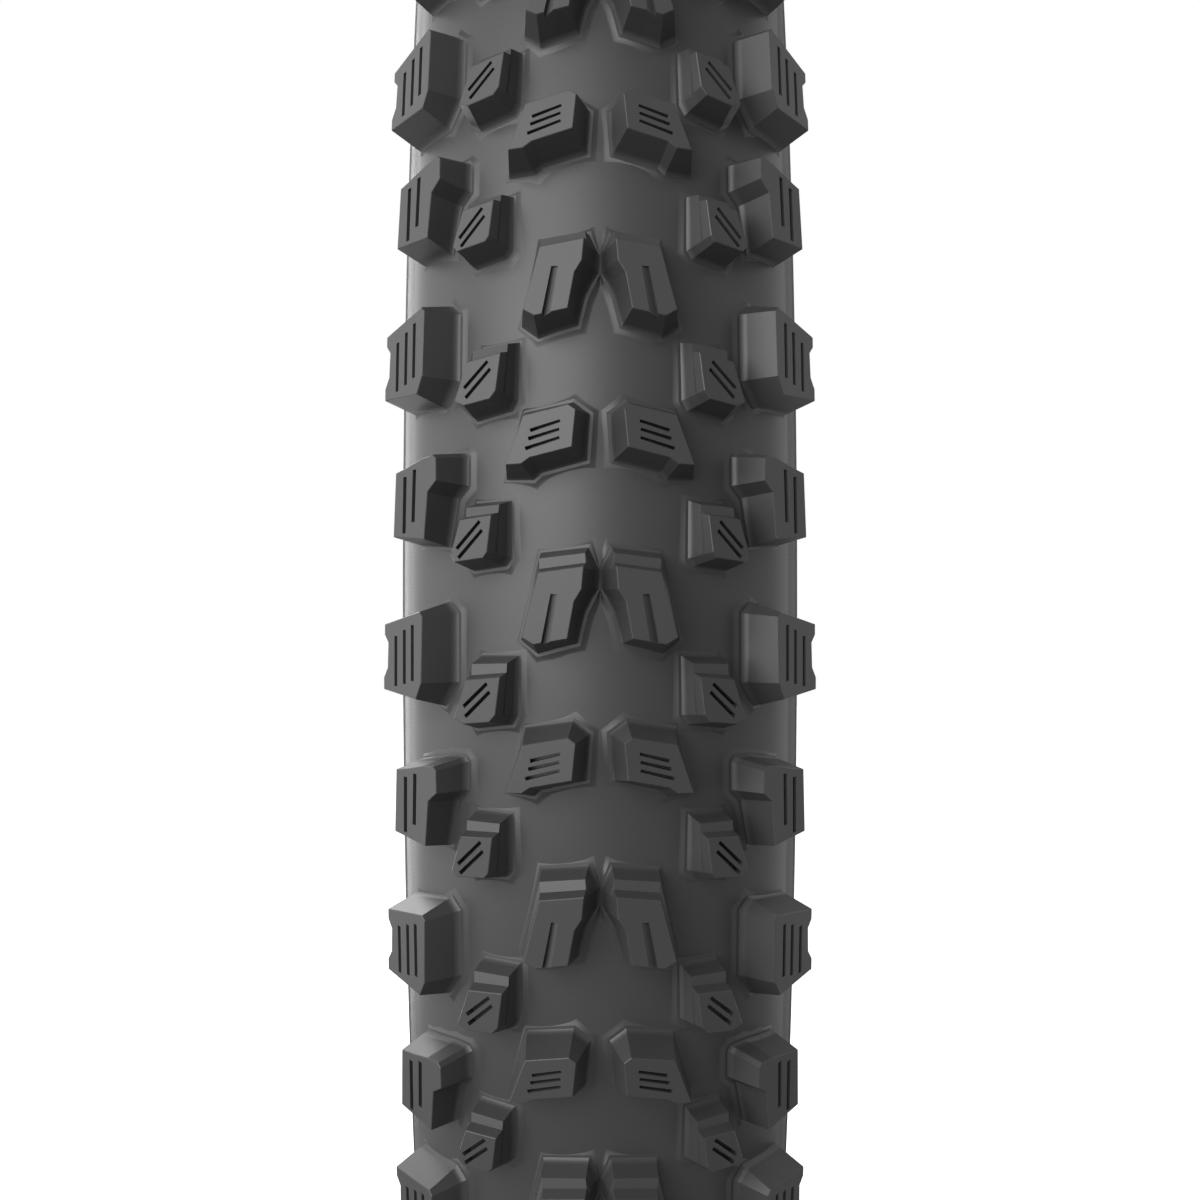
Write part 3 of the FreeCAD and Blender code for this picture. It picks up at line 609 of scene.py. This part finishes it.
def knob_block(shape, body, knobs):
    """One closed knob in its flat frame, as corners and faces.

    It is a profile carried round the outline: out on the tread, up the soft skirt, over
    the ledge, up the wall and round the top's edge. Between foot and top a corner stands
    at top + (foot - top) * (1 - share of the height); the leading corners go forwards by
    their own shares, which makes the steps. The flat top is then filled round the cuts.
    """
    height = getattr(knobs, shape["height"])
    tilt = shape["across"] * MM / body.tube_radius
    top, foot = np.array(shape["top"]) * MM, np.array(shape["foot"]) * MM
    count = len(top)
    out_foot, out_top = outward_steps(foot, FOOT_MITRE), outward_steps(top)
    ledge, skirt, edge = knobs.ledge_width, knobs.skirt_width, knobs.edge_round
    rings = []
    outer_side = np.clip(out_foot[:, 0], 0.0, 1.0)
    fade = (1.0 - (1.0 - OUTER_LEDGE) * outer_side)[:, None]
    rise = knobs.ledge_height * fade[:, 0]
    middle = -body.tube_radius * math.sin(tilt)
    for reach, lift in ((ledge + skirt, np.full(count, -SKIRT_SINK)),
                        (ledge + skirt * SKIRT_BEND[0], rise * SKIRT_BEND[1]),
                        (ledge, rise), (0.0, rise)):
        flat = foot + out_foot * fade * reach
        flat[:, 0] = np.maximum(flat[:, 0], middle + MIDDLE_GAP)
        rings.append(np.column_stack([flat, on_tread(flat, lift, tilt, body)]))
    foot_height = rings[-1][:, 2]
    edge_share = 1.0 - edge / height
    shares = list(FRONT_SHARES) if shape["front"] else []
    ahead = np.array([top[1][1] - top[0][1], top[0][0] - top[1][0]])
    ahead /= np.linalg.norm(ahead)
    spread = foot - top
    forwards = (spread @ ahead)[:, None] * ahead
    leading = np.zeros((count, 1))
    leading[:2] = 1.0 if shape["front"] else 0.0
    foot_share = knobs.foot_round / height
    front_start = 1.0 - (1.0 - FRONT_RUNS[0]) * foot_share / FRONT_SHARES[0]
    for share, run in zip([foot_share] + shares + [edge_share],
                          [front_start] + list(FRONT_RUNS)[:len(shares)] + [1.0 - edge_share]):
        flat = top + (spread - forwards * leading) * (1 - share) + forwards * leading * run
        rings.append(np.column_stack([flat, foot_height + (height - foot_height) * share]))
    rings.append(np.column_stack([top - out_top * edge * EDGE_FALL, np.full(count, height)]))
    points = list(np.concatenate(rings))
    last = len(rings) - 1

    def at(ring, corner):
        return ring * count + corner % count

    faces = {(ring, corner): [at(ring, corner), at(ring, corner + 1), at(ring + 1, corner + 1),
                              at(ring + 1, corner)]
             for ring in range(last) for corner in range(count)}
    loose = [[at(0, corner) for corner in reversed(range(count))]]
    rim = [at(last, corner) for corner in range(count)]

    def add(new_points):
        first = len(points)
        points.extend(new_points)
        return list(range(first, first + len(new_points)))

    if "slot" in shape:
        mouth = shape["slot"]["mouth"]
        depths = np.array(shape["slot"]["depths"]) * MM
        ends = np.array(shape["slot"]["end"]) * MM
        upper = add([np.array([*end, height]) for end in ends])
        lower = add([np.array([*ends[0], height - edge]),
                     np.array([*ends[1], height - depths[0]])])
        wall_low, wall_high = points[at(last - 2, mouth + 1)], points[at(last - 1, mouth + 1)]
        part = (height - depths[1] - wall_low[2]) / (wall_high[2] - wall_low[2])
        lip = add([wall_low + (wall_high - wall_low) * part])[0]
        del faces[(last - 1, mouth)]
        faces[(last - 2, mouth)] = [at(last - 2, mouth), at(last - 2, mouth + 1), lip,
                                    at(last - 1, mouth)]
        faces[(last - 2, mouth + 1)] = [at(last - 2, mouth + 1), at(last - 2, mouth + 2),
                                        at(last - 1, mouth + 2), at(last - 1, mouth + 1), lip]
        loose += [[at(last, mouth), at(last - 1, mouth), lower[0], upper[0]],
                  [upper[0], lower[0], lower[1], upper[1]],
                  [upper[1], lower[1], lip, at(last - 1, mouth + 1), at(last, mouth + 1)],
                  [at(last - 1, mouth), lip, lower[1], lower[0]]]
        rim[mouth + 1:mouth + 1] = upper
    holes = []
    for start, end, wide, wide_end, deep, deep_end in shape["cuts"]:
        upper, floor = sunk_cut(start, end, (wide, wide_end), (deep, deep_end), height)
        upper, floor = add(list(upper)), add(list(floor))
        holes.append(upper)
        for side in range(4):
            loose.append([upper[side], upper[side - 1], floor[side - 1], floor[side]])
        loose.append(floor)
    outlines = [rim] + holes
    numbers = [number for outline in outlines for number in outline]
    loops = [[Vector((points[n][0], points[n][1], 0.0)) for n in outline] for outline in outlines]
    cap = [[numbers[n] for n in triangle] for triangle in tessellate_polygon(loops)]
    block = bmesh.new()
    made = [block.verts.new(tuple(point)) for point in points]
    for face in list(faces.values()) + loose + cap:
        block.faces.new([made[n] for n in face])
    bmesh.ops.recalc_face_normals(block, faces=block.faces[:])
    block.verts.index_update()
    result = [[vert.index for vert in face.verts] for face in block.faces]
    flat_normals = np.array([face.normal[:] for face in block.faces])
    areas = np.array([face.calc_area() for face in block.faces])
    open_edges = sum(1 for e in block.edges if len(e.link_faces) != 2)
    block.free()
    if open_edges:
        raise RuntimeError("a knob is not closed: %d open edges" % open_edges)
    points = np.array(points)
    return points, result, shading(points, result, flat_normals, areas, count, body)


def shading(points, faces, flat_normals, areas, count, body):
    """The normal at every corner of every face of a knob.

    Steps and cuts are flat. On the skirt the normal turns softly, from the tread's own,
    (v / tube, u / crown, 1), at its edge to the mean of the skirt's faces. A wall is flat
    down to its foot, where its normal leans to halfway between the wall's and the tread's.
    """
    sizes = np.array([len(face) for face in faces])
    owner = np.repeat(np.arange(len(faces)), sizes)
    corner = np.concatenate([np.array(face) for face in faces])
    highest = np.array([max(face) for face in faces])
    skirt = (highest < 3 * count) & (sizes == 4)
    normals = flat_normals[owner].copy()
    soft = np.zeros_like(points)
    on_skirt = skirt[owner]
    np.add.at(soft, corner[on_skirt], (flat_normals * areas[:, None])[owner[on_skirt]])
    tread = np.column_stack([points[:count, 0] / body.tube_radius,
                             points[:count, 1] / body.crown_radius, np.ones(count)])
    soft[:count] = tread
    length = np.linalg.norm(soft, axis=1)
    soft /= np.where(length > 0, length, 1.0)[:, None]
    normals[on_skirt] = soft[corner[on_skirt]]
    at_foot = (highest >= 4 * count) & (highest < 5 * count) & (sizes == 4)
    leaning = at_foot[owner] & (corner < 4 * count)
    normals[leaning, 2] += 1.0
    normals[leaning] /= np.linalg.norm(normals[leaning], axis=1)[:, None]
    return normals


def knob_ring(name, shape, side, body, knobs, material):
    """All the knobs of one kind on one side.

    In the wheel's frame a flat point (v, u, w) of the copy at the turn t stands at
    ring er + tube n + v a + u et + w n, where er and et point away from the axle and
    forwards at t, n leans from er to the side by the tilt, and a is across the tread.
    """
    flat, faces, local_normals = knob_block(shape, body, knobs)
    tilt = shape["across"] * MM / body.tube_radius
    turns = (np.arange(knobs.repeats) + shape["along"]) * (2 * math.pi / knobs.repeats)
    zero = np.zeros_like(turns)
    away = np.stack([np.cos(turns), zero, np.sin(turns)], -1)
    forward = np.stack([-np.sin(turns), zero, np.cos(turns)], -1)
    sideways = np.array([0.0, 1.0, 0.0])
    normal = math.cos(tilt) * away + math.sin(tilt) * sideways
    across = -math.sin(tilt) * away + math.cos(tilt) * sideways
    ring = body.crown_radius - body.tube_radius
    points = (ring * away[:, None]
              + (body.tube_radius + flat[:, 2])[None, :, None] * normal[:, None]
              + flat[:, 0][None, :, None] * across[:, None]
              + flat[:, 1][None, :, None] * forward[:, None])
    points[..., 1] *= side
    count = len(flat)
    corners = [[n + count * copy for n in (face if side > 0 else face[::-1])]
               for copy in range(knobs.repeats) for face in faces]
    mesh = bpy.data.meshes.new(name)
    mesh.from_pydata(points.reshape(-1, 3).tolist(), [], corners)
    mesh.materials.append(material)
    mesh.shade_smooth()
    normals = (local_normals[:, 2][None, :, None] * normal[:, None]
               + local_normals[:, 0][None, :, None] * across[:, None]
               + local_normals[:, 1][None, :, None] * forward[:, None])
    normals[..., 1] *= side
    if side < 0:
        sizes = np.array([len(face) for face in faces])
        starts = np.concatenate([[0], np.cumsum(sizes)[:-1]])
        order = np.concatenate([np.arange(start + size - 1, start - 1, -1)
                                for start, size in zip(starts, sizes)])
        normals = normals[:, order]
    mesh.normals_split_custom_set(normals.reshape(-1, 3).tolist())
    mesh.update()
    return bpy.data.objects.new(name, mesh)


def make_knob_rings(context, names):
    """Both sides of the named kinds of knob."""
    scene = context.scene
    look = scene.tyre_finish
    material = bpy.data.materials.get("tread rubber") or moulded_rubber(
        "tread rubber", look.tread_colour, look.tread_roughness)
    for name in names:
        for side, label in ((1, "right_"), (-1, "left_")):
            piece = knob_ring("moulded_" + label + name, KNOB_SHAPES[name], side,
                              scene.tyre_body, scene.tyre_knobs, material)
            put_on_tyre(piece, [label + name])


def make_side_rings(name, section, turns, material, node):
    """The same ring on both sides: as drawn on the right, mirrored on the left."""
    for label, outline in (("right", section), ("left", mirrored_section(section))):
        put_on_tyre(ring_piece(name % label, outline, turns, material), [label + node])


# ------------------------------------------------------------------- operators

class TYRE_OT_tread(bpy.types.Operator):
    """Make the smooth tread strip that the knobs stand on"""
    bl_idname = "tyre.make_tread"
    bl_label = "Tread Strip"

    def execute(self, context):
        body, look = context.scene.tyre_body, context.scene.tyre_finish
        ring = (body.crown_radius - body.tube_radius, 0.0)
        edge = body.tread_edge_angle
        outer = arc(ring, body.tube_radius, -edge, edge, TREAD_STEPS[0])
        inner = arc(ring, body.tube_radius - body.rubber, edge, -edge, TREAD_STEPS[1])
        material = moulded_rubber("tread rubber", look.tread_colour, look.tread_roughness)
        strip = ring_piece("moulded_tread", np.concatenate([outer, inner]), body.turns, material)
        put_on_tyre(strip, ["tread_base"])
        return {"FINISHED"}


class TYRE_OT_centre_knobs(bpy.types.Operator):
    """Make the stepped wedges and the siped bars beside the middle line"""
    bl_idname = "tyre.make_centre_knobs"
    bl_label = "Centre Knobs"

    def execute(self, context):
        make_knob_rings(context, ["centre_wedges", "centre_bars"])
        return {"FINISHED"}


class TYRE_OT_transition_knobs(bpy.types.Operator):
    """Make the small stepped knobs between the centre and the shoulder"""
    bl_idname = "tyre.make_transition_knobs"
    bl_label = "Transition Knobs"

    def execute(self, context):
        make_knob_rings(context, ["inner_transition_knobs", "outer_transition_knobs"])
        return {"FINISHED"}


class TYRE_OT_shoulder_knobs(bpy.types.Operator):
    """Make the tall grooved knobs of the shoulder"""
    bl_idname = "tyre.make_shoulder_knobs"
    bl_label = "Shoulder Knobs"

    def execute(self, context):
        make_knob_rings(context, ["shoulder_three_groove_knobs", "shoulder_two_groove_knobs"])
        return {"FINISHED"}


class TYRE_OT_sidewalls(bpy.types.Operator):
    """Make both sidewalls with their mould lines and the ring above the rim"""
    bl_idname = "tyre.make_sidewalls"
    bl_label = "Sidewalls"

    def execute(self, context):
        body, look = context.scene.tyre_body, context.scene.tyre_finish
        outer = refined(wall_line(body, 0.0, body.tread_edge_angle), SIDEWALL_SPACING)
        outer = raised(outer, SIDEWALL_RINGS)
        inner = wall_line(body, body.rubber, body.tread_edge_angle)
        inner = np.concatenate([inner[::3], inner[-1:]])
        section = np.concatenate([outer, inner[::-1]])
        material = printed_rubber("sidewall rubber", look.wall_colour, 0.50, 0.00045,
                                  math.radians(45.0), 0.00006)
        make_side_rings("moulded_%s_sidewall", section, body.turns, material,
                        "_sidewall")
        return {"FINISHED"}


class TYRE_OT_chafers(bpy.types.Operator):
    """Make the woven strips that wrap the beads"""
    bl_idname = "tyre.make_chafers"
    bl_label = "Chafers"

    def execute(self, context):
        body, look = context.scene.tyre_body, context.scene.tyre_finish
        toe_side = CHAFER_REACH[2]
        lip_side = toe_side + TOE_THICKNESS
        seat, flank = body.bead_radius, body.bead_half_width
        base, lip = seat + BEAD_BASE, seat + TOE_RISE
        outer = hollow_line(body, 0.0)
        corner = arc((seat + CORNER_ROUND, flank - CORNER_ROUND), CORNER_ROUND,
                     math.pi / 2, math.pi, 5)
        toe = arc((seat + LIP_ROUND, toe_side + LIP_ROUND), LIP_ROUND,
                  math.pi, 1.5 * math.pi, 4)
        inside = np.array([[lip - LIP_ROUND, toe_side], [lip, toe_side + LIP_ROUND],
                           [lip, lip_side], [base, lip_side], [base, flank - body.rubber]])
        back = hollow_line(body, body.rubber)[::-1]
        section = np.concatenate([outer, corner, toe, inside, back])
        material = printed_rubber("chafer rubber", look.chafer_colour, 0.58, 0.0008,
                                  math.radians(30.0), 0.0001)
        make_side_rings("woven_%s_chafer", section, body.turns, material,
                        "_chafer")
        return {"FINISHED"}


class TYRE_OT_liner(bpy.types.Operator):
    """Make the smooth airtight liner that shows inside the tyre"""
    bl_idname = "tyre.make_liner"
    bl_label = "Airtight Liner"

    def execute(self, context):
        body, look = context.scene.tyre_body, context.scene.tyre_finish
        low = node_reach("inner_liner")[0]
        ply_side = CHAFER_REACH[2] + TOE_THICKNESS
        tube_middle, turn_middle, hollow_middle, end = section_marks(body)
        sides = []
        for depth in (body.liner_depth, body.liner_depth + body.liner):
            tube = arc(tube_middle, body.tube_radius - depth, 0.0, body.turn_in_angle,
                       LINER_STEPS[0])
            turn = arc(turn_middle, body.turn_in_radius - depth, body.turn_in_angle, end,
                       LINER_STEPS[1])
            extra = depth - body.liner_depth
            foot_side = ply_side + body.liner - extra
            corner = hollow_middle[0] + FILLER_RISE + PLY_THICKNESS + extra
            sides.append(np.concatenate([tube, turn[1:], [(corner, foot_side), (low, foot_side)]]))
        outer, inner = sides
        whole_outer = np.concatenate([mirrored_section(outer[::-1]), outer[1:]])
        whole_inner = np.concatenate([mirrored_section(inner[::-1]), inner[1:]])
        section = np.concatenate([whole_outer, whole_inner[::-1]])
        material = liner_rubber("liner rubber", look.liner_colour)
        piece = ring_piece("smooth_liner", section, body.turns, material)
        put_on_tyre(piece, ["inner_liner"])
        return {"FINISHED"}


class TYRE_OT_carcass(bpy.types.Operator):
    """Finish the plies, belt, bead fillers and bead cores inside the rubber"""
    bl_idname = "tyre.finish_carcass"
    bl_label = "Carcass Layers"

    def execute(self, context):
        look = context.scene.tyre_finish
        cords = cord_fabric("casing cords", look.cord_colour, 0.0005, 0.1)
        belt = cord_fabric("puncture belt", look.breaker_colour, 0.0007, 0.3)
        aramid = cord_fabric("bead aramid", look.aramid_colour, 0.0010, 0.4)
        filler = moulded_rubber("filler rubber", look.filler_colour, 0.5)
        for node, material in (("casing_ply_outer", cords), ("casing_ply_inner", cords),
                               ("breaker_belt", belt), ("left_bead_core", aramid),
                               ("right_bead_core", aramid), ("left_bead_filler", filler),
                               ("right_bead_filler", filler)):
            obj = NODES[node]
            if not obj.material_slots:
                obj.data.materials.append(material)
            for place in obj.material_slots:
                place.material = material
        return {"FINISHED"}


def area_light(name, place, target, size, power):
    """A soft rectangular light that faces a point."""
    lamp = bpy.data.lights.new(name, "AREA")
    lamp.shape = "RECTANGLE"
    lamp.size, lamp.size_y = size
    lamp.energy = power
    obj = bpy.data.objects.new(name, lamp)
    obj.visible_camera = False
    obj.location = place
    obj.rotation_euler = (Vector(target) - Vector(place)).to_track_quat("-Z", "Y").to_euler()
    bpy.context.scene.collection.objects.link(obj)
    return obj


FLOOR_REACH = 4.0                  # middle of the floor to its edges, in metres
FLOOR_TILES = 8                    # tiles along each side of the floor
FLOOR_GLOW_FADE = (0.5, 2.5)            # distances over which the floor's painted glow rises from the floor glow to full white, in metres
FLOOR_COLOUR = (0.86, 0.86, 0.86)

# Each lamp as (name, power setting, place, point it faces, size), in metres.
LAMPS = [
    ("key light", "key_power", (1.60, -0.80, 0.50), (0.37, 0.0, 0.10), (1.5, 1.5)),
    ("side light", "side_power", (0.30, -1.40, 0.20), (0.37, 0.0, 0.0), (2.0, 1.8)),
    ("far side light", "far_side_power", (0.30, 1.20, 0.15), (0.37, 0.0, 0.0), (0.8, 1.4)),
    ("edge light", "edge_power", (-0.90, -0.70, 0.15), (0.34, -0.03, 0.0), (0.6, 1.4)),
    ("rim light", "rim_power", (-0.35, 0.75, 0.10), (0.37, 0.02, 0.0), (0.4, 1.2)),
]


class TYRE_OT_studio(bpy.types.Operator):
    """Set up the camera, the pale floor and the soft lights"""
    bl_idname = "tyre.make_studio"
    bl_label = "Studio"

    def execute(self, context):
        scene, studio = context.scene, context.scene.tyre_studio
        low = CAD_BOX[0].z
        line = FLOOR_TILES + 1
        grid = np.linspace(-FLOOR_REACH, FLOOR_REACH, line)
        x, y = np.meshgrid(grid, grid, indexing="ij")
        points = np.stack([x, y, np.full_like(x, low)], -1).reshape(-1, 3)
        row, column = np.meshgrid(np.arange(FLOOR_TILES), np.arange(FLOOR_TILES), indexing="ij")
        start = row * line + column
        corners = np.stack([start, start + line, start + line + 1, start + 1], -1).reshape(-1, 4)
        mesh = bpy.data.meshes.new("floor")
        mesh.from_pydata(points.tolist(), [], corners.tolist())
        pale, nodes, links, shader = fresh_material("pale floor", FLOOR_COLOUR, 0.8)
        place = nodes.new("ShaderNodeTexCoord").outputs["Object"]
        mottled(nodes, links, shader, place, FLOOR_COLOUR, 0.8, 3.0, 0.01)
        # The floor glows: painted light, weaker near the tyre and rising to full white far away,
        # so that it looks white to the camera. It lights nothing and other surfaces do not see it.
        shader.inputs["Emission Color"].default_value = (1.0, 1.0, 1.0, 1.0)
        away = nodes.new("ShaderNodeVectorMath")
        away.operation = "LENGTH"
        links.new(place, away.inputs[0])
        fade = nodes.new("ShaderNodeMapRange")
        fade.interpolation_type = "SMOOTHSTEP"
        fade.inputs["From Min"].default_value = FLOOR_GLOW_FADE[0]
        fade.inputs["From Max"].default_value = FLOOR_GLOW_FADE[1]
        fade.inputs["To Min"].default_value = studio.floor_glow
        fade.inputs["To Max"].default_value = 1.0
        links.new(away.outputs["Value"], fade.inputs["Value"])
        links.new(fade.outputs["Result"], shader.inputs["Emission Strength"])
        mesh.materials.append(pale)
        floor = bpy.data.objects.new("floor", mesh)
        floor.visible_diffuse = floor.visible_glossy = False
        scene.collection.objects.link(floor)

        lens = bpy.data.cameras.new("camera")
        lens.lens = studio.lens
        lens.sensor_width = 36.0
        lens.clip_start, lens.clip_end = 0.01, 50.0
        camera = bpy.data.objects.new("camera", lens)
        camera.location = (studio.camera_distance, 0.0, 0.0)
        camera.rotation_euler = (math.radians(90.0), 0.0, math.radians(90.0))
        scene.collection.objects.link(camera)
        scene.camera = camera

        for name, power, place, target, size in LAMPS:
            area_light(name, place, target, size, getattr(studio, power))

        world = bpy.data.worlds.new("studio light")
        world.use_nodes = True
        nodes, links = world.node_tree.nodes, world.node_tree.links
        lit = nodes["Background"]
        lit.inputs["Color"].default_value = (1.0, 1.0, 1.0, 1.0)
        lit.inputs["Strength"].default_value = studio.fill
        seen = nodes.new("ShaderNodeBackground")
        seen.inputs["Strength"].default_value = 1.0
        seen.inputs["Color"].default_value = (1.0, 1.0, 1.0, 1.0)
        mix = nodes.new("ShaderNodeMixShader")
        path = nodes.new("ShaderNodeLightPath")
        links.new(path.outputs["Is Camera Ray"], mix.inputs["Fac"])
        links.new(lit.outputs["Background"], mix.inputs[1])
        links.new(seen.outputs["Background"], mix.inputs[2])
        links.new(mix.outputs["Shader"], nodes["World Output"].inputs["Surface"])
        scene.world = world
        scene.view_settings.view_transform = "Standard"
        return {"FINISHED"}


class TYRE_PT_panel(bpy.types.Panel):
    """Sizes, finishes and the steps that make the tyre"""
    bl_idname = "TYRE_PT_panel"
    bl_label = "Knobbly Tyre"
    bl_space_type = "VIEW_3D"
    bl_region_type = "UI"
    bl_category = "Tyre"

    def draw(self, context):
        layout, scene = self.layout, context.scene
        for title, group in (("Body", scene.tyre_body), ("Knobs", scene.tyre_knobs),
                             ("Finish", scene.tyre_finish), ("Studio", scene.tyre_studio)):
            box = layout.box()
            box.label(text=title)
            for name in group.__annotations__:
                box.prop(group, name)
        column = layout.column(align=True)
        for operator in OPERATORS:
            column.operator(operator.bl_idname)


GROUPS = (TyreBodySizes, TyreKnobSizes, TyreFinish, TyreStudio)
OPERATORS = (TYRE_OT_tread, TYRE_OT_centre_knobs, TYRE_OT_transition_knobs,
             TYRE_OT_shoulder_knobs, TYRE_OT_sidewalls, TYRE_OT_chafers, TYRE_OT_liner,
             TYRE_OT_carcass, TYRE_OT_studio)
SETTINGS = {"tyre_body": TyreBodySizes, "tyre_knobs": TyreKnobSizes,
            "tyre_finish": TyreFinish, "tyre_studio": TyreStudio}


def register():
    """Add the classes and hang the settings on the scene."""
    for item in GROUPS + OPERATORS + (TYRE_PT_panel,):
        bpy.utils.register_class(item)
    for name, group in SETTINGS.items():
        setattr(bpy.types.Scene, name, PointerProperty(type=group))


def unregister():
    """Take the settings and the classes away again."""
    for name in SETTINGS:
        delattr(bpy.types.Scene, name)
    for item in reversed(GROUPS + OPERATORS + (TYRE_PT_panel,)):
        bpy.utils.unregister_class(item)


def main():
    """Register the add-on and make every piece."""
    register()
    bpy.ops.tyre.make_tread()
    bpy.ops.tyre.make_centre_knobs()
    bpy.ops.tyre.make_transition_knobs()
    bpy.ops.tyre.make_shoulder_knobs()
    bpy.ops.tyre.make_sidewalls()
    bpy.ops.tyre.make_chafers()
    bpy.ops.tyre.make_liner()
    bpy.ops.tyre.finish_carcass()
    bpy.ops.tyre.make_studio()


if __name__ == "__main__":
    main()
